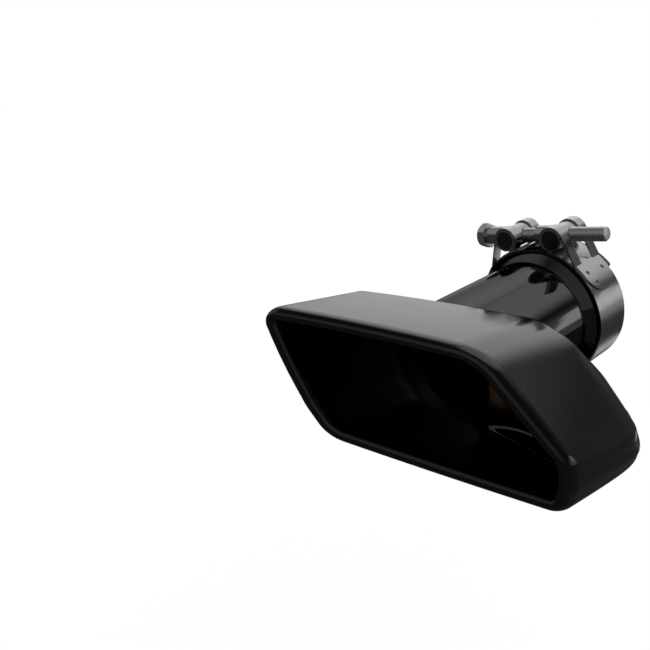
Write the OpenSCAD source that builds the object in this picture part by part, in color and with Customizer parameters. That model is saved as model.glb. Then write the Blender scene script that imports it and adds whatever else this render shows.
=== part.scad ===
// Double-walled exhaust tip for the outboard end of a bumper, with the bolted band clamp on its inlet.
// Origin: centre of the inlet socket's open end. X points outboard, Y rearward up the pipe, Z up.
// The outlet faces -Y. The casing stands level, and the inlet pipe rises and swings outboard from it.

/* [Outlet outline] */
// Width of the sill under the outlet
sill_w = 91.5; // [82:0.5:100]
// Rise of the sill from its outboard to its inboard end
sill_rise = 4; // [2:0.5:6]
// Height of the steep lower facet on the outboard side
kick_h = 21.5; // [18:0.5:25]
// How far that facet leans inboard
kick_in = 1; // [0:0.5:3]
// How far inboard of the sill's outboard end the top corner lies
shoulder_in = 37.5; // [33:0.5:42]
// Height of the outboard top corner above the sill
shoulder_h = 56.5; // [52:0.5:61]
// Width of the flat top
top_w = 86.5; // [80:0.5:94]
// Height of the inboard top corner above the sill
brow_h = 54; // [50:0.5:57]
// Width of the cut corner at the inboard end of the sill
cut_w = 10.5; // [8:0.5:14]
// Height of that cut corner
cut_h = 12; // [10:0.5:15]
// Bend radius at the outboard end of the sill
sill_r = 6; // [4:0.5:8]
// Bend radius between the steep facet and the slanted side
crease_r = 10; // [6:1:16]
// Bend radius of the big outboard top corner
shoulder_r = 24; // [18:1:30]
// Bend radius of the inboard top corner
brow_r = 6; // [4:0.5:8]
// Bend radius at the upper end of the cut corner
cut_top_r = 28; // [18:1:34]
// Bend radius at the lower end of the cut corner
cut_low_r = 16; // [10:1:20]

/* [Casing] */
// Thickness of the sheet of the outer shell
shell_t = 1.2; // [0.8:0.1:1.6]
// Radius of the rolled lip round the outlet
lip_r = 2.5; // [2:0.1:3]
// How far the casing swells outward behind its lip
swell = 0.9; // [0.6:0.1:1.6]
// Depth behind the lip at which it has swelled
swell_l = 4; // [2:0.5:6]
// How far back the outlet's face runs for each millimetre outboard
face_sweep = 0.345; // [0.25:0.005:0.45]
// How far forward the outlet's face leans for each millimetre of height
face_lean = 0.147; // [0.05:0.001:0.2]
// How far behind the datum the face passes over the sill's outboard end
face_at = 1; // [0:0.1:3]
// Depth of the rear edge at the outboard top corner
top_depth = 44; // [40:1:48]
// How much less deep the top's rear edge is for each mm inboard of the shoulder
rear_sweep = 0.37; // [0.3:0.01:0.45]
// How much shorter the casing is along its underside
under_short = 21; // [18:1:24]
// Depth to the end of the swept tail on the outboard side
tail_depth = 132; // [124:1:140]
// Height above the sill at which the tail starts to sweep far back
tail_h = 38; // [32:1:42]
// Depth at which the outboard side starts to tuck in towards the pipe
tuck_at = 80; // [70:1:90]
// Slope of the outboard rear edge above that height
upper_rake = 1.2; // [1:0.05:1.4]
// Slope of the outboard rear edge below that height, over and above the upper one
lower_rake = 1.25; // [0.9:0.05:1.5]
// Width over which the rear edge turns from the top into the tail
tail_w = 15; // [12:1:18]

/* [Inner liner] */
// Thickness of the sheet of the liner
liner_t = 1.2; // [0.8:0.1:1.6]
// Depth at which the duct stops following the outlet and starts to gather into the neck
liner_depth = 20; // [16:0.5:24]
// How late the funnel gathers: 1 is straight, higher keeps it wide for longer
gather = 2.4; // [2:0.1:2.8]
// Length of the round neck inside the pipe
neck_l = 9; // [6:0.5:12]

/* [Inlet pipe] */
// Outer diameter of the pipe
pipe_d = 63.5; // [60:0.5:66]
// Wall of the pipe
pipe_t = 1.3; // [1.1:0.1:1.6]
// Length of the plain pipe in front of the socket's shoulder
pipe_l = 74; // [72:0.5:76]
// Bore of the socket that slips over the car's tailpipe
socket_bore_d = 69; // [68:0.1:70.5]
// Length of the straight socket
socket_l = 28.5; // [28:0.5:34]
// Length of the shoulder between the socket and the pipe
shoulder_l = 4.5; // [4:0.5:8]
// Width of the slots that let the socket close under the clamp
slot_w = 3; // [2:0.5:4]
// Length of those slots
slot_l = 22; // [18:1:26]
// How many slots there are
slots = 4; // [3:1:6]
// Upward slope of the pipe towards the rear
inlet_pitch = 17; // [14:0.5:20]
// Outboard slope of the pipe towards the rear
inlet_yaw = 9; // [6:0.5:12]
// Outboard distance from the inlet's centre to the sill's outboard end
outlet_x = 68.5; // [65:0.5:72]
// Distance forward from the inlet's centre to the sill's outboard end
outlet_y = 148; // [144:1:154]
// Drop from the inlet's centre to the sill
outlet_z = 53.5; // [51:0.5:56]

/* [Clamp] */
// Width of the clamp's band
band_w = 24; // [22:0.5:26]
// Thickness of the band
band_t = 0.9; // [0.7:0.1:1.2]
// Distance from the socket's open end to the band
band_at = 3; // [1:0.5:5]
// Turn of the whole clamp about the pipe
clamp_roll = 12.8; // [-30:0.1:30]
// Radius of the trunnion barrels
trunnion_r = 6.2; // [5.6:0.1:6.6]
// Distance between the two barrels
trunnion_gap = 29.6; // [27:0.2:34]
// Outer radius of the trunnions' bosses
boss_r = 5.2; // [5:0.1:5.8]
// Gap between the bosses and the bridge plate
boss_gap = 0.2; // [0.1:0.1:1]
// Length of the boss under the bolt's head, from the barrel's axis
head_boss_l = 19.5; // [14:0.5:22]
// Length of the boss on the threaded trunnion, from the barrel's axis
thread_boss_l = 15; // [10:0.5:15]
// Diameter of the bolt's thread
bolt_d = 8; // [7:0.5:8]
// Length of the bolt under its head
bolt_l = 75; // [70:1:80]
// Width across the flats of the bolt's head
head_af = 13; // [12:0.5:14]
// Height of the bolt's head
head_h = 5.3; // [4.5:0.1:6]
// Angle from the bolt's middle at which the folded ends land on the band
fold_start = 45; // [43:1:48]
// Angle from the bolt's middle at which the folded ends stop
fold_end = 78; // [68:1:80]
// Radius of the clinch dimples in the folded ends
dimple_r = 1.6; // [1.2:0.1:2]
// Width of the bridge plate under the band's ends
bridge_w = 28; // [26:0.5:30]
// Thickness of the bridge plate
bridge_t = 0.8; // [0.6:0.1:1]
// Half the angle that the bridge plate covers
bridge_a = 54; // [50:1:58]
// How far the plate is turned past the bolt's middle
bridge_turn = 6; // [0:1:8]
// Skew of the bridge plate under the band
bridge_skew = 5; // [0:1:7]

/* [Hidden] */
$fn = 96;

// Gap between sheets that lie on each other, and running gap of the bolt
lay = 0.05;
run = 0.05;
eps = 0.01;

// Depth behind the outlet's face at which the drift of the corners is given
station = 120;
// Softness of the bend where the outboard side tucks in
tuck_soft = 16;
arc_n = 7;
edge_n = 6;
corners = 6;
loop_n = corners * (arc_n + edge_n);
lip_n = 8;
wall_n = 10;
funnel_n = 9;

// Corners of the outlet, counter-clockwise from the outboard end of the sill: [x, z]
front = [[0, 0], [-kick_in, kick_h], [-shoulder_in, shoulder_h], [-shoulder_in - top_w, brow_h],
         [-sill_w - cut_w, sill_rise + cut_h], [-sill_w, sill_rise]];
front_r = [sill_r, crease_r, shoulder_r, brow_r, cut_top_r, cut_low_r];
// How far each corner has moved at the station, how fast it tucks in, and its bend radius there
drift = [[8, -4], [8.5, -14.5], [9, 6], [-6, 1.5], [-4, -1], [0, -3]];
tuck = [0.38, 0.54, 0.95, 0, 0, 0];
rear_r = [sill_r - 1, crease_r + 4, shoulder_r + 4, brow_r + 1, cut_top_r, cut_low_r];
// Inward bow of the edge that follows each corner
bow = [-0.8, 0, -0.6, -0.6, 0, -0.3];

function lerp(a, b, t) = a + (b - a) * t;
function unit(v) = v / norm(v);
function smooth(t) = let (c = min(max(t, 0), 1)) c * c * (3 - 2 * c);
// Zero below 0 and t above it, with a soft bend of width w between the two
function ramp(t, w) = (t + sqrt(t * t + w * w)) / 2;

// Place of a corner, u stations behind the outlet's face
function corner(p, u) = let (q = p % corners)
    front[q] + drift[q] * u - [tuck[q] * (ramp(u * station - tuck_at, tuck_soft) - ramp(-tuck_at, tuck_soft)), 0];
function inward(a, b) = let (e = unit(b - a)) [-e[1], e[0]];
// Centre of the bend at a corner, with the normals of the edges before and after it
function bend_at(p, d, u) =
    let (q = p + corners, a = corner(q - 1, u), b = corner(q, u), c = corner(q + 1, u),
         n1 = inward(a, b), n2 = inward(b, c),
         r = max(lerp(front_r[q % corners], rear_r[q % corners], min(u, 1)) - d, 0.6))
    [b + (n1 + n2) / (1 + n1 * n2) * (d + r), r, n1, n2];
function turn(v, a) = [v[0] * cos(a) - v[1] * sin(a), v[0] * sin(a) + v[1] * cos(a)];
// Point i of the casing's outline, d inside its outer face, at the share u of the rear drift
function outline(i, d, u) =
    let (per = arc_n + edge_n, p = floor(i / per), k = i % per, b = bend_at(p, d, u),
         sweep = acos(min(max(b[2] * b[3], -1), 1)))
    k <= arc_n ? b[0] - b[1] * turn(b[2], sweep * k / arc_n)
               : let (c = bend_at(p + 1, d, u), t = (k - arc_n) / edge_n)
                 lerp(b[0] - b[1] * b[3], c[0] - c[1] * c[2], t) + b[3] * bow[p % corners] * 4 * t * (1 - t);

// Depth of the outlet's face, and of the casing's rear edge, over a point of the outline
function face_y(p) = face_sweep * p[0] - face_lean * p[1] + face_at;
function rear_y(p) =
    let (x = p[0], z = p[1], outward = x + shoulder_in,
         back = top_depth + rear_sweep * outward - under_short * (1 - z / shoulder_h)
                * (1 - smooth((x + shoulder_in) / shoulder_in)),
         sweep = upper_rake * max(shoulder_h - z, 0) + lower_rake * ramp(tail_h - z, 8),
         raw = back + smooth(outward / tail_w + 0.5) * sweep)
    tail_depth - ramp(tail_depth - raw, 9);
function share(i, y) = max(y - face_y(outline(i, 0, 0)), 0) / station;
// Point of the casing at loop place i, d inside the outer face, at depth y
function casing(i, d, y) = let (p = outline(i, d, share(i, y))) [p[0], y, p[1]];
function lip_y(i, d) = face_y(outline(i, d, 0));
// Depth at which loop place i meets the rear edge, found by stepping along the drifting casing
function rear_end(i, y = 60, steps = 8) =
    steps == 0 ? y : rear_end(i, (y + rear_y(outline(i, 0, share(i, y)))) / 2, steps - 1);
rear_line = [for (i = [0 : loop_n - 1]) rear_end(i)];

// A closed ring of sheet from a list of loops, each joined to the next and the last to the first
module wrap(loops) {
    n = len(loops[0]);
    m = len(loops);
    polyhedron(points = [for (l = loops) each l],
               faces = [for (j = [0 : m - 1], i = [0 : n - 1])
                        let (a = j * n + i, b = j * n + (i + 1) % n,
                             c = ((j + 1) % m) * n + (i + 1) % n, d = ((j + 1) % m) * n + i)
                        each [[a, b, c], [a, c, d]]],
               convexity = 8);
}

module at_outlet() {
    translate([outlet_x, -outlet_y, -outlet_z]) children();
}

// Pressed sheet casing: its lip rolls through a half turn and its outboard side sweeps back into a tail
module outer_shell() {
    turn_in = [for (k = [0 : lip_n]) 180 * k / lip_n];
    function wall(d) = [for (k = [1 : wall_n]) [for (i = [0 : loop_n - 1])
                        casing(i, d, lerp(lip_y(i, d) + swell_l, rear_line[i], k / wall_n))]];
    // The outer quarter of the roll is long and low, and the inner one is round
    function roll(r) = [for (a = turn_in) let (outer = a < 90, back = outer ? swell_l : 0,
                        d = lip_r - (r + (outer ? swell : 0)) * cos(a)) [for (i = [0 : loop_n - 1])
                        casing(i, d, lip_y(i, d) + back - (back + r) * sin(a))]];
    function back(l) = [for (k = [len(l) - 1 : -1 : 0]) l[k]];
    color([0.06, 0.06, 0.065]) at_outlet()
        wrap(concat(back(wall(shell_t - swell)), roll(lip_r - shell_t), back(roll(lip_r)), wall(-swell)));
}

pipe_r = pipe_d / 2;
socket_r = socket_bore_d / 2 + pipe_t;
pipe_end = socket_l + shoulder_l + pipe_l;
bead_r = 1.5;
// Turns the inlet's own frame, with z forward along the pipe, into the part's frame
function from_inlet(p) =
    let (a = 90 + inlet_pitch, q = [p[0], p[1] * cos(a) - p[2] * sin(a), p[1] * sin(a) + p[2] * cos(a)])
    [q[0] * cos(inlet_yaw) + q[1] * sin(inlet_yaw), q[1] * cos(inlet_yaw) - q[0] * sin(inlet_yaw), q[2]];
module at_inlet() {
    rotate([90 + inlet_pitch, 0, -inlet_yaw]) children();
}

// Straight duct behind the lip, then a funnel that gathers it into a round neck inside the pipe
module inner_liner() {
    deep = 2 * lip_r;
    start = -37;
    neck_r = pipe_r - pipe_t - lay - liner_t;
    neck_z = pipe_end + 2.5 * bead_r;
    function straight(d) = [for (k = [0 : 3]) [for (i = [0 : loop_n - 1])
                            casing(i, d, lerp(lip_y(i, d) + lay, liner_depth, k / 3))]];
    // Round loop about the pipe, with as many points as the outline
    function round_loop(r, z) = [for (i = [0 : loop_n - 1]) let (a = start + 360 * i / loop_n)
        from_inlet([r * cos(a), r * sin(a), z]) - [outlet_x, -outlet_y, -outlet_z]];
    wide = straight(deep);
    mouth = round_loop(neck_r, neck_z);
    // Inner face of the funnel: it stays wide at first and gathers late
    inside = concat([wide[3]], [for (k = [1 : funnel_n - 1]) let (t = k / funnel_n, w = pow(t, gather))
        [for (i = [0 : loop_n - 1]) let (s = wide[3][i], e = mouth[i])
            [lerp(s[0], e[0], w), lerp(s[1], e[1], t), lerp(s[2], e[2], w)]]], [mouth]);
    // Its outer face lies one thickness off, square to the surface
    function out_from(k, i) = let (j = (i + 1) % loop_n, h = (i + loop_n - 1) % loop_n)
        unit(cross(inside[k + 1][i] - inside[k - 1][i], inside[k][j] - inside[k][h]));
    outside = [for (k = [1 : funnel_n - 1]) [for (i = [0 : loop_n - 1]) inside[k][i] + liner_t * out_from(k, i)]];
    function back(l) = [for (k = [len(l) - 1 : -1 : 0]) l[k]];
    color([0.1, 0.1, 0.1]) at_outlet()
        wrap(concat([round_loop(neck_r, pipe_end - neck_l)], back(inside), back([for (k = [0 : 2]) wide[k]]),
                    straight(deep - liner_t), outside,
                    [round_loop(neck_r + liner_t, neck_z), round_loop(neck_r + liner_t, pipe_end - neck_l)]));
}

// Drawn tube: slotted socket, shoulder, plain pipe, and the weld bead where it meets the liner
module inlet_pipe() {
    bore_r = socket_bore_d / 2;
    in_r = pipe_r - pipe_t;
    z1 = socket_l;
    z2 = socket_l + shoulder_l;
    color([0.16, 0.16, 0.17]) at_inlet() difference() {
        union() {
            rotate_extrude() polygon([[bore_r, 0], [socket_r, 0], [socket_r, z1], [pipe_r, z2],
                                      [pipe_r, pipe_end], [in_r, pipe_end], [in_r, z2], [bore_r, z1]]);
            translate([0, 0, pipe_end]) rotate_extrude() translate([pipe_r - pipe_t / 2, 0]) intersection() {
                circle(r = bead_r, $fn = 24);
                translate([-pipe_t / 2, -bead_r / 2]) square([2 * bead_r, 2 * bead_r]);
            }
        }
        for (k = [0 : slots - 1]) rotate(45 + 360 * k / slots) {
            translate([0, -slot_w / 2, -1]) cube([socket_r + 1, slot_w, slot_l + 1 - slot_w / 2]);
            translate([0, 0, slot_l - slot_w / 2]) rotate([0, 90, 0])
                cylinder(d = slot_w, h = socket_r + 1, $fn = 32);
        }
    }
}

// The band's own circle is lifted so that it lies on the bridge above and on the socket below
band_r = socket_r + bridge_t / 2 + 0.35;
band_lift = bridge_t / 2 + lay;
bolt_h = socket_r + bridge_t + lay + boss_gap + boss_r;
trunnion_x = trunnion_gap / 2;
loop_r = trunnion_r + lay;

module at_clamp() {
    at_inlet() rotate(clamp_roll) translate([0, 0, band_at]) children();
}

// Part of a ring between two angles from the bolt's middle, drawn flat
module arc_strip(r1, r2, a1, a2) {
    n = 24;
    far = r2 * 1.6;
    intersection() {
        difference() {
            circle(r = r2);
            circle(r = r1);
        }
        polygon(concat([[0, 0]], [for (k = [0 : n]) let (a = lerp(a1, a2, k / n)) far * [sin(a), cos(a)]]));
    }
}

// One end of the band, drawn flat: round the barrel from below, over it and down to its own back
module band_loop() {
    c = [trunnion_x, bolt_h];
    out_r = loop_r + band_t;
    land = [0, band_lift] + (band_r + band_t) * [sin(fold_start), cos(fold_start)];
    to = land - c;
    // Direction from the barrel's centre to where the straight leg touches it
    a = atan2(to[1], to[0]) + acos(loop_r / norm(to));
    n = [cos(a), sin(a)];
    foot = atan2(-c[1], -c[0]);
    difference() {
        translate(c) difference() {
            circle(r = out_r, $fn = 64);
            circle(r = loop_r, $fn = 64);
        }
        // The barrel shows between the leg and the band under it
        translate(c) polygon([[0, 0], 2 * out_r * [cos(foot + 8), sin(foot + 8)],
                              3 * out_r * [cos((foot + a) / 2), sin((foot + a) / 2)], 2 * out_r * n]);
    }
    // The leg starts a little way back in the ring, a hair inside its faces, and ends in the band
    hair = 0.02;
    along = unit(to - loop_r * n);
    from = c + (loop_r + hair) * n - 0.3 * along;
    into = land + along * band_t / 2 + hair * n;
    across = (band_t - 2 * hair) * n;
    polygon([from, from + across, into + across, into]);
}

module clamp_band() {
    arm_w = (band_w - 2 * boss_r - 1) / 2;
    meet = atan2(trunnion_x, bolt_h);
    dimples = [[fold_start + 9, 0.3], [fold_start + 10, -0.25], [fold_start + 19, 0.22]];
    color([0.7, 0.7, 0.68]) at_clamp() difference() {
        union() {
            linear_extrude(band_w) translate([0, band_lift]) arc_strip(band_r, band_r + band_t, meet, 360 - meet);
            for (side = [0, 1]) mirror([side, 0, 0]) {
                for (z = [0, band_w - arm_w]) translate([0, 0, z]) linear_extrude(arm_w) band_loop();
                fold(fold_start, fold_end);
            }
        }
        for (side = [0, 1], m = dimples) mirror([side, 0, 0])
            translate([0, band_lift, band_w * (0.5 + m[1])]) rotate([0, 0, -m[0]])
                translate([0, band_r + 2 * band_t + dimple_r * 0.6, 0]) sphere(r = dimple_r, $fn = 24);
    }
}

// Folded-back end with round corners, lying on the band and a hair inside its edges
module fold(a1, a2) {
    mid = (a1 + a2) / 2;
    half = (band_r + band_t) * sin((a2 - a1) / 2);
    tip_r = band_w / 2 - 1;
    intersection() {
        linear_extrude(band_w) translate([0, band_lift])
            arc_strip(band_r + band_t / 2, band_r + 2 * band_t, a1 - 1, a2);
        rotate([0, 0, -mid]) translate([0, 0, band_w / 2]) rotate([-90, 0, 0]) linear_extrude(band_r * 2) {
            translate([half - tip_r - 4, 0]) circle(r = tip_r, $fn = 64);
            translate([-half * 2, -tip_r]) square([half * 3 - tip_r - 4, 2 * tip_r]);
        }
    }
}

// Curved plate that closes the gap between the band's ends
module bridge_plate() {
    r = socket_r + lay;
    color([0.12, 0.12, 0.12]) at_clamp() intersection() {
        translate([0, 0, -band_w]) linear_extrude(3 * band_w)
            difference() {
                circle(r = r + bridge_t);
                circle(r = r);
            }
        translate([0, 0, band_w / 2]) rotate([0, bridge_skew, -bridge_turn])
            translate([-r * sin(bridge_a), 0, -bridge_w / 2]) cube([2 * r * sin(bridge_a), 2 * r, bridge_w]);
    }
}

// Barrel that lies in a band loop, with a boss along the bolt
module trunnion(x, boss_l, hole_r) {
    long = band_w + 1;
    color([0.75, 0.74, 0.7]) at_clamp() difference() {
        union() {
            translate([x, bolt_h, -0.5]) cylinder(r = trunnion_r, h = long, $fn = 64);
            translate([x - boss_l, bolt_h, band_w / 2]) rotate([0, 90, 0]) cylinder(r = boss_r, h = boss_l, $fn = 64);
        }
        translate([x - boss_l - 1, bolt_h, band_w / 2]) rotate([0, 90, 0])
            cylinder(r = hole_r, h = boss_l + trunnion_r + 2, $fn = 64);
    }
}

module head_trunnion() {
    trunnion(-trunnion_x, head_boss_l, bolt_d / 2 + run + 0.15);
}

module threaded_trunnion() {
    trunnion(trunnion_x, thread_boss_l, bolt_d / 2 + run);
}

// Hexagon-head bolt with a chamfered tip; its threads are fine enough to be left out
module clamp_bolt() {
    color([0.3, 0.29, 0.28]) at_clamp() translate([-trunnion_x - head_boss_l - run, bolt_h, band_w / 2])
        rotate([0, 90, 0]) {
            translate([0, 0, -head_h]) intersection() {
                cylinder(d = head_af / cos(30), h = head_h, $fn = 6);
                cylinder(d1 = head_af * 0.95, d2 = head_af * 0.95 + 2 * head_h, h = head_h, $fn = 64);
            }
            rotate_extrude() polygon([[0, -eps], [bolt_d / 2, -eps], [bolt_d / 2, bolt_l - 1],
                                      [bolt_d / 2 - 1, bolt_l], [0, bolt_l]]);
        }
}

outer_shell();
inner_liner();
inlet_pipe();
clamp_band();
bridge_plate();
head_trunnion();
threaded_trunnion();
clamp_bolt();
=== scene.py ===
# %% [markdown]
# # An exhaust tip in gloss black chrome
# The part is a double-walled tip from the outboard end of a bumper. A pressed casing is rolled
# round the outlet, a duct runs back inside it, and a slotted socket is clamped to the car's
# tailpipe by a band with two barrels and a bolt.
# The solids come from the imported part. This lesson dresses them: it computes smooth surfaces for
# the pieces whose reflections matter, and gives every piece its finish.

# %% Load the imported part
import math

import bpy
import numpy as np
from mathutils import Matrix, Vector


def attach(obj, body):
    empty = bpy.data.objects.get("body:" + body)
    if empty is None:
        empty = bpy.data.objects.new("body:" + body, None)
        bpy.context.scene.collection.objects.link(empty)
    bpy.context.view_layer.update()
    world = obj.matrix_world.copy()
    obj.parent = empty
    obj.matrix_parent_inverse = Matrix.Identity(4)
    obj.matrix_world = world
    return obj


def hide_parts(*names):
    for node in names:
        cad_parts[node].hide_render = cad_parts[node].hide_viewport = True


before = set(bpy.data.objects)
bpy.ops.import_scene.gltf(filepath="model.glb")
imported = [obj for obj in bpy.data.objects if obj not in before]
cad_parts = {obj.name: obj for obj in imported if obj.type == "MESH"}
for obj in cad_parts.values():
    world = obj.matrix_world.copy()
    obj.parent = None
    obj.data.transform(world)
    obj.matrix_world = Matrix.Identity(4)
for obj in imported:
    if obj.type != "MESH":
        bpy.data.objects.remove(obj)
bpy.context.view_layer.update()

# %% [markdown]
# Each new piece is a grid: rows of points, worked out as one numpy array in millimetres. Such a
# surface could also be drawn with curves and modifiers, but a computed one follows the same sizes
# as the solid below it. One helper turns a grid into a mesh. A grid may close on itself along its
# rows, its columns or both.

# %% From a grid of points to a piece
MM = 1000


def grid_faces(rows, cols, close_rows, close_cols):
    """Each quad joins point (i, j) with its neighbours; a closed direction wraps round to 0."""
    i, j = np.meshgrid(np.arange(rows if close_rows else rows - 1),
                       np.arange(cols if close_cols else cols - 1), indexing="ij")
    i, j = i.ravel(), j.ravel()
    i2, j2 = (i + 1) % rows, (j + 1) % cols
    return np.stack([i * cols + j, i * cols + j2, i2 * cols + j2, i2 * cols + j], axis=1)


def piece_from(name, points, faces, finish):
    """A smooth mesh of the points (mm) and faces, with its finish."""
    mesh = bpy.data.meshes.new(name)
    mesh.from_pydata((points.reshape(-1, 3) / MM).tolist(), [], faces.tolist())
    mesh.polygons.foreach_set("use_smooth", [True] * len(mesh.polygons))
    mesh.update()
    mesh.materials.append(finish)
    piece = bpy.data.objects.new(name, mesh)
    bpy.context.collection.objects.link(piece)
    print(f"{name}: {len(mesh.vertices)} points, {len(mesh.polygons)} faces")
    return piece


print("a 3 by 4 grid, closed along its rows only, has", len(grid_faces(3, 4, False, True)), "faces")

# %% [markdown]
# A finish is a small graph of shader nodes. Writing it as arithmetic keeps it readable: `Wire`
# holds a node's output, and `+`, `-` and `*` each add a Math node. Every other node comes from
# `Graph.node`, which takes the node's type, its settings and what goes into its sockets.

# %% Shader sums as Python sums
class Wire:
    """A node's output, which can be added, subtracted and multiplied."""

    def __init__(self, graph, socket):
        self.graph, self.socket = graph, socket

    def _math(self, operation, a, b):
        return self.graph.node("ShaderNodeMath", {"operation": operation}, {0: a, 1: b})

    def __add__(self, other): return self._math("ADD", self, other)
    def __radd__(self, other): return self._math("ADD", other, self)
    def __sub__(self, other): return self._math("SUBTRACT", self, other)
    def __rsub__(self, other): return self._math("SUBTRACT", other, self)
    def __mul__(self, other): return self._math("MULTIPLY", self, other)
    def __rmul__(self, other): return self._math("MULTIPLY", other, self)


class Graph:
    """The nodes of one material, or of the world's light."""

    def __init__(self, owner):
        owner.use_nodes = True
        self.tree = owner.node_tree
        self.tree.nodes.clear()

    def node(self, kind, settings=None, inputs=None, out=0):
        """A node of that type: first its settings, then a value or a wire for each socket."""
        made = self.tree.nodes.new(kind)
        for key, value in (settings or {}).items():
            setattr(made, key, value)
        for key, value in (inputs or {}).items():
            if isinstance(value, Wire):
                self.tree.links.new(value.socket, made.inputs[key])
            else:
                made.inputs[key].default_value = value
        return Wire(self, made.outputs[out]) if made.outputs else None

    def vector(self, operation, *inputs):
        """A Vector Math node; a dot product, a distance and a length each give a number."""
        number = operation in ("DOT_PRODUCT", "DISTANCE", "LENGTH")
        return self.node("ShaderNodeVectorMath", {"operation": operation},
                         dict(enumerate(inputs)), "Value" if number else "Vector")

    def spot(self):
        """Where the shaded point lies in the part's own coordinates, in metres."""
        return self.node("ShaderNodeTexCoord", None, None, "Object")

    def between(self, value, low, high):
        """0 below low, 1 above high and a smooth rise in between."""
        return self.node("ShaderNodeMapRange", {"interpolation_type": "SMOOTHSTEP"},
                         {"Value": value, "From Min": low, "From Max": high})

    def tint(self, share, low, high):
        """The colour low where the share is 0 and the colour high where it is 1."""
        return self.node("ShaderNodeMix", {"data_type": "RGBA"}, {0: share, 6: low, 7: high}, 2)


# %% [markdown]
# Every metal here is one Principled surface. No sheet is perfectly flat and none is perfectly
# clean, so two patterns come with each finish. A bump of less than a tenth of a millimetre bends
# the reflections, and wipe marks vary how sharp they are. Both are noise over the part's own
# coordinates, so they stay in place when the part turns.

# %% A finish from a few values
def speckle(graph, scale, detail):
    """Noise over the part, with its grains set by a scale per metre."""
    return graph.node("ShaderNodeTexNoise", None,
                      {"Vector": graph.spot(), "Scale": scale, "Detail": detail})


def wavy(scale, height):
    """A bump of the given height in metres."""
    return lambda graph: graph.node("ShaderNodeBump", None, {
        "Strength": 1.0, "Distance": height, "Height": speckle(graph, scale, 1.5)})


def wiped(low, high, scale=60):
    """Roughness that wanders between low and high."""
    return lambda graph: low + (high - low) * graph.between(speckle(graph, scale, 4.0), 0.35, 0.7)


def finish_of(name, colour, metallic, roughness, bump, cover=None, **shader):
    """A Principled surface. Roughness, bump and a colour that varies are functions of the graph;
    cover takes the graph and the surface, and gives the surface with something laid over it."""
    material = bpy.data.materials.new(name)
    graph = Graph(material)
    inputs = {"Base Color": colour(graph) if callable(colour) else (*colour, 1),
              "Metallic": metallic, "Roughness": roughness(graph), "Normal": bump(graph)}
    inputs.update({key.replace("_", " "): value for key, value in shader.items()})
    surface = graph.node("ShaderNodeBsdfPrincipled", None, inputs)
    graph.node("ShaderNodeOutputMaterial", None,
               {"Surface": cover(graph, surface) if cover else surface})
    print(name, "has", len(graph.tree.nodes), "nodes")
    return material


# %% [markdown]
# Black chrome is nearly black when seen square on, and a mirror when seen at a shallow angle. A
# dark base under a clear surface of high index does just that, with no picture to mirror. The
# plate under the clamp is painted black. The band is nickel, and the bolt is zinc, which is
# rougher and so duller.

# %% Finishes of plating and paint
black_chrome = finish_of("black_chrome", (0.004, 0.004, 0.004), 0.0,
                         wiped(0.09, 0.16), wavy(14, 0.00006), IOR=1.8)
plate_black = finish_of("plate_black", (0.004, 0.004, 0.004), 0.0,
                        wiped(0.06, 0.2), wavy(60, 0.00003), IOR=1.7)
band_nickel = finish_of("band_nickel", (0.5, 0.5, 0.49), 1.0,
                        wiped(0.2, 0.27, 80), wavy(500, 0.000002))
bolt_zinc = finish_of("bolt_zinc", (0.8, 0.78, 0.75), 1.0,
                      wiped(0.3, 0.38, 200), wavy(800, 0.000004))

# %% [markdown]
# The casing is pressed from sheet in halves, welded, ground smooth and plated. Its outlet is a
# polygon of six corners with rounded bends. Its corners drift as the casing runs back, and on the
# outboard side they tuck in towards the pipe. It could be a bevelled box that is pulled into
# shape, but then each bend would take its size from the mesh. Here each corner has a place and a
# radius at every depth, as the solid has.

# %% The casing's corners at a depth
sill_w, sill_rise, kick_h, kick_in = 91.5, 4.0, 21.5, 1.0
shoulder_in, shoulder_h, top_w, brow_h, cut_w, cut_h = 37.5, 56.5, 86.5, 54.0, 10.5, 12.0
front = np.array([[0, 0], [-kick_in, kick_h], [-shoulder_in, shoulder_h],
                  [-shoulder_in - top_w, brow_h], [-sill_w - cut_w, sill_rise + cut_h],
                  [-sill_w, sill_rise]])
front_r = np.array([6.0, 10, 24, 6, 28, 16])
rear_r = front_r + [-1, 4, 4, 1, 0, 0]
drift = np.array([[8.0, -4], [8.5, -14.5], [9, 6], [-6, 1.5], [-4, -1], [0, -3]])
tuck = np.array([0.38, 0.54, 0.95, 0, 0, 0])
station, tuck_at, tuck_soft = 120.0, 80.0, 16.0
CORNERS = len(front)


def ramp(t, w):
    """Zero below 0 and t above it, with a soft bend of width w: the mean of t and a hyperbola."""
    return (t + np.sqrt(t * t + w * w)) / 2


def ease(t):
    """A smooth rise from 0 to 1: three t squared less two t cubed."""
    t = np.clip(t, 0, 1)
    return t * t * (3 - 2 * t)


def corner(p, u):
    """Corner p at u stations of depth: its front place and u drifts, less its tuck inboard."""
    p = p % CORNERS
    q = front[p] + drift[p] * u[..., None]
    q[..., 0] -= tuck[p] * (ramp(u * station - tuck_at, tuck_soft) - ramp(-tuck_at, tuck_soft))
    return q


def inward(a, b):
    """The unit normal on the inner side of the edge from a to b: the edge, turned a quarter."""
    e = b - a
    e /= np.linalg.norm(e, axis=-1, keepdims=True)
    return np.stack([-e[..., 1], e[..., 0]], -1)


def bend_at(p, d, u):
    """Centre and radius of the bend at corner p, d inside the outer face, and its two normals.
    The centre lies d + r from both edges, along the sum of their normals."""
    a, b, c = corner(p - 1, u), corner(p, u), corner(p + 1, u)
    n1, n2 = inward(a, b), inward(b, c)
    r0 = front_r[p % CORNERS] + (rear_r - front_r)[p % CORNERS] * np.minimum(u, 1)
    r = np.maximum(r0 - d, 0.6)
    dot = (n1 * n2).sum(-1)
    return b + (n1 + n2) / (1 + dot)[..., None] * (d + r)[..., None], r, n1, n2


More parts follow.
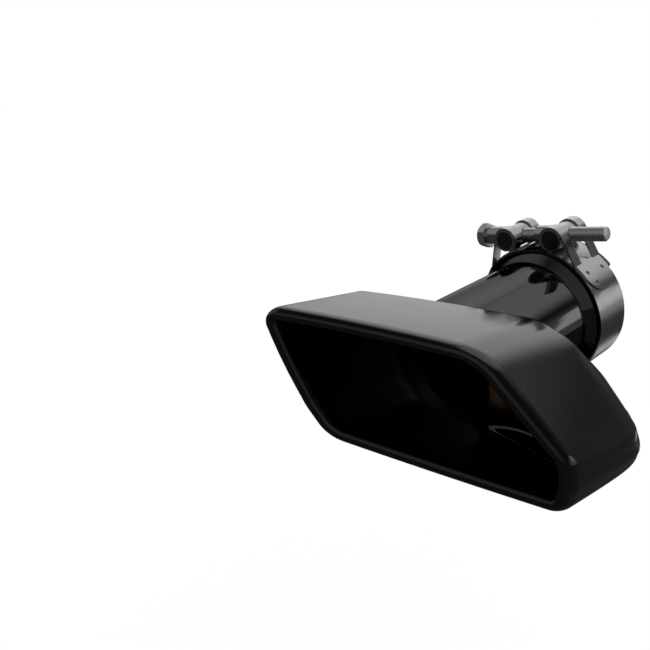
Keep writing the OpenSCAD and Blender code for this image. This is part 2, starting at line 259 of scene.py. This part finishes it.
print("front corners", front.tolist(), "mm")

# %% [markdown]
# Between two bends runs an edge, with a slight bow as pressed sheet has. On the outboard side the
# sheet is fuller above the crease, where it turns in towards the tail. The outline is one function
# of the place round the loop, so every row of the grid has its points at matching places.

# %% The casing's outline
ARC, EDGE = 21, 18
LOOP = CORNERS * (ARC + EDGE)
bow = np.array([-0.8, 0, -0.6, -0.6, 0, -0.3])
haunch, haunch_lean = 1.25, 1.3
grown_at, grown_over, fade_at, fade_over, fade_by = 0.35, 0.35, 0.8, 0.2, 0.7
place = np.arange(LOOP)


def fullness(place, u):
    """Extra roundness above the crease: a squared sine along one bend and its edge, which grows
    with depth and fades before the tail's end."""
    s = np.clip((place - (ARC + EDGE)) / (ARC + EDGE), 0, 1)
    grown = ease((u - grown_at) / grown_over)
    faded = fade_by * ease((u - fade_at) / fade_over)
    return haunch * np.sin(math.pi * s ** haunch_lean) ** 2 * grown * (1 - faded)


def outline(place, d, u):
    """Points d inside the outer face; place counts ARC steps a bend and EDGE steps an edge.
    A bend is its centre less r along a normal that turns evenly, and an edge is a straight line
    with a parabola on it."""
    place, d, u = np.broadcast_arrays(place, np.asarray(d, float), np.asarray(u, float))
    p, k = place // (ARC + EDGE), place % (ARC + EDGE)
    c1, r1, n1, m1 = bend_at(p, d, u)
    c2, r2, n2, _ = bend_at(p + 1, d, u)
    angle = np.arccos(np.clip((n1 * m1).sum(-1), -1, 1)) * np.minimum(k, ARC) / ARC
    turned = np.stack([n1[..., 0] * np.cos(angle) - n1[..., 1] * np.sin(angle),
                       n1[..., 0] * np.sin(angle) + n1[..., 1] * np.cos(angle)], -1)
    t = (np.clip(k - ARC, 0, None) / EDGE)[..., None]
    start, stop = c1 - r1[..., None] * m1, c2 - r2[..., None] * n2
    on_edge = start + (stop - start) * t + m1 * bow[p][..., None] * 4 * t * (1 - t)
    on_bend = (k <= ARC)[..., None]
    points = np.where(on_bend, c1 - r1[..., None] * turned, on_edge)
    return points - np.where(on_bend, turned, m1) * fullness(place, u)[..., None]


print("outline of", LOOP, "points")

# %% [markdown]
# The outlet's face is a slanted plane, cut to follow the bumper. The rear edge is a curve that
# sweeps far back on the outboard side, into a tail, and stays short below. Both are depths over a
# point of the outline.

# %% Depth of the face and of the rear edge
face_sweep, face_lean, face_at = 0.345, 0.147, 1.0
top_depth, rear_sweep, under_short, tail_depth, tail_h = 44.0, 0.37, 21.0, 132.0, 38.0
upper_rake, lower_rake, tail_w = 1.2, 1.25, 15.0


def face_y(p):
    """Depth of the outlet's plane over a point: it sweeps with x and leans with z."""
    return face_sweep * p[..., 0] - face_lean * p[..., 1] + face_at


def rear_y(p):
    """Depth of the rear edge over a point: straight and swept on top, shorter below, raked down
    the outboard side, and softly held at the tail's depth."""
    x, z = p[..., 0], p[..., 1]
    outward = x + shoulder_in
    back = (top_depth + rear_sweep * outward
            - under_short * (1 - z / shoulder_h) * (1 - ease(outward / shoulder_in)))
    sweep = upper_rake * np.maximum(shoulder_h - z, 0) + lower_rake * ramp(tail_h - z, 8)
    raw = back + ease(outward / tail_w + 0.5) * sweep
    return tail_depth - ramp(tail_depth - raw, 9)


lip_edge = face_y(outline(place, 0, 0))


def share(y):
    """Stations of depth behind the lip."""
    return np.maximum(y - lip_edge, 0) / station


rear_line = np.full(LOOP, 60.0)
for _ in range(12):
    rear_line = (rear_line + rear_y(outline(place, 0, share(rear_line)))) / 2
print("rear edge between", rear_line.min().round(1), "and", rear_line.max().round(1), "mm deep")

# %% [markdown]
# The sheet has an outer and an inner face. At the outlet it rolls through a half turn: a long low
# quarter outside, where the casing swells behind its lip, and a round quarter inside. At the rear
# a small round breaks the edge, so that it catches a thin line of light. A Solidify modifier would
# give the thickness too, but neither the swell nor the roll.

# %% The casing
shell_t, lip_r = 1.2, 2.5
swell, swell_l = 0.9, 4.0
edge_r = shell_t / 2
WALL, ROLL, ROUND = 64, 24, 6
datum = np.array([68.5, -148.0, -53.5])


def casing(d, y):
    """Rows of points d inside the outer face at the depths y, one for each place of the loop."""
    p = outline(place, d, share(y))
    return np.stack([p[..., 0], np.broadcast_to(y, p.shape[:-1]), p[..., 1]], -1)


def lip_y(d):
    """Depth of the outlet's plane round the loop, d inside the outer face."""
    return face_y(outline(place, d, 0))


def wall(d):
    """One face of the sheet, in even steps from behind the lip to the rear edge's round."""
    start = lip_y(d - swell) + swell_l
    t = np.linspace(0, 1, WALL + 1)[1:, None]
    return casing(d - swell, start + (rear_line - edge_r - start) * t)


def roll(r):
    """The lip's half turn: its cosine gives the way in and its sine the way forward. The outer
    quarter is an ellipse, wider by the swell and longer by the swell's length."""
    a = np.linspace(0, math.pi, ROLL + 1)[:, None]
    outer = a < math.pi / 2
    d = lip_r - (r + swell * outer) * np.cos(a)
    y = lip_y(d) + swell_l * outer - (r + swell_l * outer) * np.sin(a)
    return casing(d, y)


a = np.linspace(0, math.pi, ROUND + 1)[1:-1, None]
rear_round = casing(edge_r - swell - edge_r * np.cos(a), rear_line - edge_r + edge_r * np.sin(a))
loops = np.concatenate([wall(shell_t)[::-1], roll(lip_r - shell_t), roll(lip_r)[::-1],
                        wall(0), rear_round])
casing_piece = piece_from("casing", loops + datum, grid_faces(len(loops), LOOP, True, True),
                          black_chrome)
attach(casing_piece, "tip")
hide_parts("outer_shell")

# %% [markdown]
# The pipe meets the casing at a slant: it comes from the tailpipe, down and a little inboard. Its
# pieces are worked out in a frame of their own, with z along the pipe, and then turned into the
# part. The clamp has the same frame, rolled round the pipe.

# %% The pipe's and the clamp's own frames
pipe_r, pipe_t, pipe_l = 31.75, 1.3, 74.0
bore_r, socket_l, shoulder_l = 34.5, 28.5, 4.5
socket_r = bore_r + pipe_t
pipe_end = socket_l + shoulder_l + pipe_l
inlet_pitch, inlet_yaw = math.radians(17), math.radians(9)
clamp_roll, band_at = math.radians(12.8), 3.0
to_part = (Matrix.Rotation(-inlet_yaw, 3, "Z")
           @ Matrix.Rotation(math.pi / 2 + inlet_pitch, 3, "X"))
inlet_turn = np.array(to_part)
clamp_turn = np.array(to_part @ Matrix.Rotation(clamp_roll, 3, "Z"))


def from_inlet(p):
    """Part coordinates of a point given with z forward along the pipe."""
    return np.asarray(p) @ inlet_turn.T


def from_clamp(p):
    """Part coordinates of a point given in the clamp's frame: x along the bolt, y up to it."""
    return (np.asarray(p, float) + [0, 0, band_at]) @ clamp_turn.T


pipe_axis = from_inlet([0, 0, 1])
print("pipe runs towards", pipe_axis.round(3))

# %% [markdown]
# The duct is black with soot, and so it shows only what breaks the soot. A painted highlight, a
# lighter grey line, runs round it parallel to the outlet's face. A brighter painted highlight, a
# near-white streak, lies on the neck's rim at its outboard end. Above that the heat has browned a
# patch. These could be painted on an unwrapped surface, but each is only a plane or a ball in the
# part's coordinates with a soft edge, and so a short sum gives it.

# %% The duct's finish, with its painted highlights
SOOT, BROWNED = (0.0012, 0.0012, 0.0011, 1), (0.5, 0.32, 0.15, 1)
# The lighter grey and the near-white are painted highlights: the line round the duct and the streak
# on the neck's rim.
HIGHLIGHT_LINE_GREY, RIM_HIGHLIGHT_WHITE = (0.013, 0.013, 0.013, 1), (0.8, 0.8, 0.78, 1)
# Where the two painted highlights lie.
highlight_line_at, highlight_line_half = -0.1257, 0.0008
ring_aim, ring_at, ring_half = (0.35, 1, 0), -0.0994, 0.0003
ring_depth, ring_reach = (0.036, 0.041), (0, 0.006)
heat_at, heat_core, heat_edge = (0.016, -0.111, -0.028), 0.004, 0.013


def line_at(graph, value, at, half):
    """1 where the value is at the line, and 0 from half beyond it: one less a smooth distance."""
    off = graph.node("ShaderNodeMath", {"operation": "ABSOLUTE"}, {0: value - at})
    return 1 - graph.between(off, half * 0.4, half)


def duct_soot_and_painted_highlights(graph):
    """Soot and the browned patch, with painted highlights on them: a line round the duct and a
    streak on the neck's rim.
    """
    spot = graph.spot()
    level = graph.vector("DOT_PRODUCT", spot, (-face_sweep, 1, face_lean))
    # Painted highlight: a lighter line round the duct, parallel to the outlet's face.
    highlight_line = line_at(graph, level, highlight_line_at, highlight_line_half)
    # Painted highlight: a near-white streak on the neck's rim, low and outboard.
    rim_highlight = line_at(graph, graph.vector("DOT_PRODUCT", spot, ring_aim), ring_at, ring_half)
    low = graph.between(graph.vector("DOT_PRODUCT", spot, (0, 0, -1)), *ring_depth)
    outboard = graph.between(graph.vector("DOT_PRODUCT", spot, (1, 0, 0)), *ring_reach)
    away = graph.vector("DISTANCE", spot, heat_at)
    sooty = graph.tint(1 - graph.between(away, heat_core, heat_edge), SOOT, BROWNED)
    return graph.tint(rim_highlight * low * outboard, graph.tint(highlight_line, sooty, HIGHLIGHT_LINE_GREY), RIM_HIGHLIGHT_WHITE)


duct_black = finish_of("duct_black", duct_soot_and_painted_highlights, 0.0, wiped(0.4, 0.55), wavy(90, 0.00008),
                       IOR=1.45, Specular_IOR_Level=0.03)

# %% [markdown]
# Behind the rolled lip the duct runs straight back for a short way. Then it gathers into a round
# neck that is welded into the pipe. A plain bridge between the two loops would narrow at once.
# So each point travels to its own place on the round loop at an even pace in depth, but late
# across, which keeps the duct wide for long.

# %% The duct
liner_t, liner_depth, gather, neck_l, bead_r = 1.2, 20.0, 2.4, 9.0, 1.5
lay = 0.05
neck_r = pipe_r - pipe_t - lay - liner_t
neck_z = pipe_end + 2.5 * bead_r
round_from = math.radians(-37)
STRAIGHT, FUNNEL = 7, 60


def round_loop(r, z):
    """A circle of radius r round the pipe's axis, z along it, with the outline's places."""
    angle = round_from + 2 * math.pi * place / LOOP
    rim_highlight = np.stack([r * np.cos(angle), r * np.sin(angle), np.full(LOOP, z)], -1)
    return from_inlet(rim_highlight) - datum


def straight(d):
    """The duct's front, d inside the casing's outer face, in even steps back from the lip."""
    t = np.linspace(0, 1, STRAIGHT + 1)[:, None]
    return casing(d, (lip_y(d) + lay) * (1 - t) + liner_depth * t)


def off_surface(grid, depth):
    """The grid moved along its own normals: the cross product of its two directions."""
    along = np.roll(grid, -1, axis=1) - np.roll(grid, 1, axis=1)
    normal = np.cross(np.gradient(grid, axis=0), along)
    return grid + depth * normal / np.linalg.norm(normal, axis=-1, keepdims=True)


wide = straight(2 * lip_r)
t = np.linspace(0, 1, FUNNEL + 1)[1:, None, None]
pace = np.concatenate([t ** gather, t, t ** gather], -1)
inside = wide[-1] + (round_loop(neck_r, neck_z) - wide[-1]) * pace
outside = off_surface(np.concatenate([wide[-1:], inside]), liner_t)[1:-1]
duct_loops = np.concatenate([round_loop(neck_r, pipe_end - neck_l)[None],
                             inside[::-1], wide[::-1], straight(2 * lip_r - liner_t), outside,
                             round_loop(neck_r + liner_t, neck_z)[None],
                             round_loop(neck_r + liner_t, pipe_end - neck_l)[None]])
duct_piece = piece_from("duct", duct_loops + datum,
                        grid_faces(len(duct_loops), LOOP, True, True), duct_black)
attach(duct_piece, "tip")
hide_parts("inner_liner")

# %% [markdown]
# The bolt draws the clamp's two barrels together. It is a metric one with a rolled thread, and
# its head is a hexagon cut by a shallow cone. A thread could be a profile that is screwed up a
# helix. Here the shank is a tube whose radius varies: the shank's own, less a wave that climbs
# one pitch a turn.

# %% The bolt
bolt_d, bolt_l, bolt_pitch, head_af, head_h, head_lift = 8.0, 75.0, 1.25, 13.0, 5.3, 0.05
band_w, bridge_t, boss_gap, boss_r, trunnion_x, head_boss_l = 24.0, 0.8, 0.2, 5.2, 14.8, 19.5
thread_h, flank_rise, crest_flat, tip_chamfer = 0.4, 2.4, 0.15, 0.5
tip_face_r, head_face_r, cone_r = 2.6, 5.2, 0.475 * head_af
bolt_h = socket_r + bridge_t + lay + boss_gap + boss_r
head_at = -trunnion_x - head_boss_l - head_lift
AROUND, STEPS_A_PITCH, CLOSED = 72, 10, 0.01
turn_at = 2 * math.pi * np.arange(AROUND) / AROUND


def on_bolt(r, x):
    """Rings of radius r at the distances x along the bolt, in part coordinates."""
    r, x, turn = np.broadcast_arrays(r, x, turn_at)
    return from_clamp(np.stack([head_at + x, bolt_h + r * np.sin(turn),
                                band_w / 2 + r * np.cos(turn)], -1))


def thread(x):
    """Radius of the shank: full at the crests, less by the thread's height at the roots, and less
    by the chamfer over the tip's last millimetre."""
    phase = (x / bolt_pitch - turn_at / (2 * math.pi)) % 1
    groove = thread_h * np.clip(flank_rise * np.abs(phase - 0.5) - crest_flat, 0, 1)
    return bolt_d / 2 - groove - tip_chamfer * (1 - np.clip(bolt_l - x, 0, 1))


flat_angle = (turn_at + math.pi / 6) % (math.pi / 3) - math.pi / 6
hexagon = head_af / 2 / np.cos(flat_angle)
cone_x = np.array([0, 0.3, 0.7, 1.1, 1.6, 2.2])[:, None]
shank_x = np.arange(CLOSED, bolt_l, bolt_pitch / STEPS_A_PITCH)[:, None]
bolt_rings = np.concatenate([
    on_bolt([[CLOSED], [head_face_r]], -head_h),
    on_bolt(np.minimum(hexagon, cone_r + cone_x), cone_x - head_h),
    on_bolt([hexagon, np.full(AROUND, bolt_d / 2)], 0.0),
    on_bolt(thread(shank_x), shank_x),
    on_bolt([[tip_face_r], [CLOSED]], bolt_l)])
bolt_piece = piece_from("bolt", bolt_rings,
                        grid_faces(len(bolt_rings), AROUND, False, True)[:, ::-1], bolt_zinc)
bolt_piece.data.set_sharp_from_angle(angle=math.radians(28))
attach(bolt_piece, "bolt")
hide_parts("clamp_bolt")

# %% [markdown]
# The pipe, the band, the plate and the barrels keep their solids, which have their true shapes.
# The pipe is plated black outside only, and inside it is sooty. Its finish asks how far a point
# lies from the pipe's axis, which is the length of the cross product of the point and the axis.
# Nearer than the middle of the wall is inside.

# %% The pipe's finish
def sooty_inside(graph, plated):
    """Matt soot wherever a point lies nearer to the axis than the middle of the wall."""
    spot, axis = graph.spot(), tuple(pipe_axis)
    radius = graph.vector("LENGTH", graph.vector("CROSS_PRODUCT", spot, axis))
    narrowing = graph.between(graph.vector("DOT_PRODUCT", spot, axis),
                              socket_l / MM, (socket_l + shoulder_l) / MM)
    mid_wall = (bore_r + pipe_t / 2) / MM - narrowing * ((socket_r - pipe_r) / MM)
    outside = graph.between(radius - mid_wall, -0.0001, 0.0001)
    soot = graph.node("ShaderNodeBsdfDiffuse", None, {"Color": (0.006, 0.0055, 0.005, 1)})
    return graph.node("ShaderNodeMixShader", None, {0: outside, 1: soot, 2: plated})


pipe_black = finish_of("pipe_black", (0.11, 0.11, 0.11), 1.0, wiped(0.015, 0.05),
                       wavy(30, 0.00003), sooty_inside, Specular_Tint=(0.42, 0.42, 0.42, 1))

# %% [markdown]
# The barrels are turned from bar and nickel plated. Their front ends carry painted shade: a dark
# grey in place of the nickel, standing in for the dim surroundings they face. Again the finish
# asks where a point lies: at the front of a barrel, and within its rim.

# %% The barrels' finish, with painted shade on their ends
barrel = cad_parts["head_trunnion"].data
corners = np.empty(3 * len(barrel.vertices))
barrel.vertices.foreach_get("co", corners)
barrel_front = float((corners.reshape(-1, 3) @ pipe_axis).max())
dark_r, rim_r = 0.0051, 0.0054
print("the barrels' front ends lie", round(barrel_front * MM, 2), "mm along the pipe")


def from_barrel(graph, spot, side):
    """Distance of the spot from the axis of the barrel on that side, -1 or 1."""
    centre = tuple(from_clamp([side * trunnion_x, bolt_h, 0]) / MM)
    off = graph.vector("SUBTRACT", spot, centre)
    return graph.vector("LENGTH", graph.vector("CROSS_PRODUCT", off, tuple(pipe_axis)))


def painted_shade_ends(graph):
    """Nickel, with painted shade, a dark grey, on the front end of each barrel up to a bright rim.
    """
    spot = graph.spot()
    along = graph.vector("DOT_PRODUCT", spot, tuple(pipe_axis))
    near = graph.node("ShaderNodeMath", {"operation": "MINIMUM"},
                      {0: from_barrel(graph, spot, -1), 1: from_barrel(graph, spot, 1)})
    # Painted shade: the front ends take a dark grey in place of the nickel.
    end = (graph.between(along, barrel_front - 0.0002, barrel_front - 0.0001)
           * (1 - graph.between(near, dark_r, rim_r)))
    return graph.tint(end, (0.5, 0.49, 0.475, 1), (0.1, 0.1, 0.1, 1))


barrel_nickel = finish_of("barrel_nickel", painted_shade_ends, 1.0, wiped(0.2, 0.28, 100),
                          wavy(600, 0.000003))

# %% [markdown]
# A solid comes in with the plain colour of its slot. Its mesh is left alone, and only what it is
# made of is changed: the old material goes out and the finish goes in.

# %% Finishes of the solids that are kept
for node, finish in {"inlet_pipe": pipe_black, "clamp_band": band_nickel,
                     "bridge_plate": plate_black, "head_trunnion": barrel_nickel,
                     "threaded_trunnion": barrel_nickel}.items():
    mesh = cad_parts[node].data
    mesh.materials.clear()
    mesh.materials.append(finish)
    print(node, "is finished in", finish.name)

# %% [markdown]
# Gloss black shows nothing but its surroundings, so the light is designed as a picture that the
# part mirrors. It could be built of lamps and cards, but patches of light on the world's sphere
# are easier to aim. A wide bright sweep stands behind the part, with a dark flag cut into it, and
# a second one reaches overhead. Elsewhere the studio is dark. There are only faint fills for the
# side, the shoulder, the front and the left, and on the right one low lit gap, which draws a
# streak on the pipe. The camera itself sees plain white.

# %% World
world = bpy.data.worlds.new("studio")
bpy.context.scene.world = world
light = Graph(world)
direction = light.node("ShaderNodeTexCoord", None, None, "Generated")


def towards(azimuth, height):
    """How far each direction points to the azimuth and height in degrees: their dot product."""
    turn, lift = math.radians(azimuth), math.radians(height)
    aim = (math.cos(turn) * math.cos(lift), math.sin(turn) * math.cos(lift), math.sin(lift))
    return light.vector("DOT_PRODUCT", direction, aim)


def patch(azimuth, height, edge, core, power):
    """A round patch of light: none where the dot product is at the edge, full at the core."""
    return light.between(towards(azimuth, height), edge, core) * power


def strip(value, start, full, fade, stop):
    """1 from full to fade, and 0 before start and after stop."""
    return light.between(value, start, full) * (1 - light.between(value, fade, stop))


def brighter(a, b):
    """The larger of the two, so that patches that overlap don't add up."""
    return light.node("ShaderNodeMath", {"operation": "MAXIMUM"}, {0: a, 1: b})


flag = patch(101, 5, 0.95, 0.975, 0.9)
sweep = patch(115, 30, 0.75, 0.97, 0.95) * (1 - flag)
overhead = patch(60, 60, 0.84, 0.97, 0.65)
side_glow = patch(38, 5, 0.91, 0.99, 0.25)
gap = (strip(towards(132, 0), -0.06, -0.035, 0.035, 0.06)
       * strip(towards(0, 90), 0.1, 0.17, 0.34, 0.4)
       * patch(42, 0, 0.3, 0.6, 1.5))
fills = (patch(-70, 5, 0.3, 0.95, 0.16) + patch(68, 12, 0.7, 0.95, 0.035)
         + patch(76, 33, 0.93, 1.0, 0.16) + patch(200, 25, 0.75, 0.97, 0.3))
strength = 0.03 + brighter(brighter(sweep, overhead), brighter(gap, side_glow)) + fills
dim = light.node("ShaderNodeBackground", None, {"Color": (1, 1, 1, 1), "Strength": strength})
white = light.node("ShaderNodeBackground", None, {"Color": (1, 1, 1, 1), "Strength": 1.0})
seen = light.node("ShaderNodeLightPath", None, None, "Is Camera Ray")
light.node("ShaderNodeOutputWorld", None,
           {"Surface": light.node("ShaderNodeMixShader", None, {0: seen, 1: dim, 2: white})})
print("the world's light has", len(light.tree.nodes), "nodes")

# %% [markdown]
# The band's lower edge mirrors something bright and low. A patch of the world would light the
# casing's tail as well, so a small card is set close behind the band, with a narrow beam and
# hardly any power.

# %% The low card
card_at, card_aim = Vector((0.045, 0.117, -0.073)), Vector((0.03, -0.005, -0.033))
lamp = bpy.data.lights.new("low_card", "AREA")
lamp.shape, lamp.size, lamp.size_y = "RECTANGLE", 0.09, 0.04
lamp.energy, lamp.spread = 0.00013, math.radians(22)
card = bpy.data.objects.new("low_card", lamp)
bpy.context.collection.objects.link(card)
card.location = card_at
card.rotation_euler = (card_aim - card_at).to_track_quat("-Z", "Y").to_euler()
card.visible_camera = False
print("the card stands", round((card_aim - card_at).length, 3), "m from what it lights")

# %% [markdown]
# The floor is a pale sheet below the part, which hangs from its socket as it does on a car. To
# the camera it glows a little, so that it runs into the white behind it. To the part it is a
# darker grey, which keeps the underside dark.

# %% Floor
floor_z, floor_half = -0.16, 6.0
corners = [(-1, -1), (1, -1), (1, 1), (-1, 1)]
floor_mesh = bpy.data.meshes.new("floor")
floor_mesh.from_pydata([(floor_half * x, floor_half * y, floor_z) for x, y in corners], [],
                       [(0, 1, 2, 3)])
floor = bpy.data.objects.new("floor", floor_mesh)
bpy.context.collection.objects.link(floor)
paint = bpy.data.materials.new("floor_paint")
sheet = Graph(paint)
shade = sheet.node("ShaderNodeBsdfDiffuse", None, {"Color": (0.15, 0.15, 0.15, 1)})
glow = sheet.node("ShaderNodeEmission", None, {"Color": (1, 1, 1, 1), "Strength": 0.96})
lit = sheet.node("ShaderNodeAddShader", None, {0: shade, 1: glow})
seen = sheet.node("ShaderNodeLightPath", None, None, "Is Camera Ray")
sheet.node("ShaderNodeOutputMaterial", None,
           {"Surface": sheet.node("ShaderNodeMixShader", None, {0: seen, 1: shade, 2: lit})})
floor_mesh.materials.append(paint)
print("floor", 2 * floor_half, "m wide at", floor_z, "m")

# %% [markdown]
# The camera stands where the photo's camera stood. Its place, its turn and its focal length were
# solved from points of the photo, in pixels of a picture 650 wide. The lens looks a little beside
# the picture's middle, which the shift gives.

# %% Camera
picture, focal, middle = 650, 702.69, (344, 269)
camera_data = bpy.data.cameras.new("camera")
camera = bpy.data.objects.new("camera", camera_data)
bpy.context.collection.objects.link(camera)
right = Vector((0.77324, 0.61666, 0.14776)).normalized()
ahead = Vector((-0.59046, 0.78515, -0.18682)).normalized()
up = right.cross(ahead).normalized()
camera.matrix_world = Matrix.Translation((0.137966, -0.400219, 0.073283)) @ Matrix(
    (right, up, -ahead)).transposed().to_4x4()
camera_data.sensor_width = 36
camera_data.lens = focal / picture * camera_data.sensor_width
camera_data.shift_x = 0.5 - middle[0] / picture
camera_data.shift_y = middle[1] / picture - 0.5
camera_data.clip_start = 0.01
bpy.context.scene.camera = camera
bpy.context.scene.view_settings.view_transform = "Standard"
print("lens", round(camera_data.lens, 2), "mm")
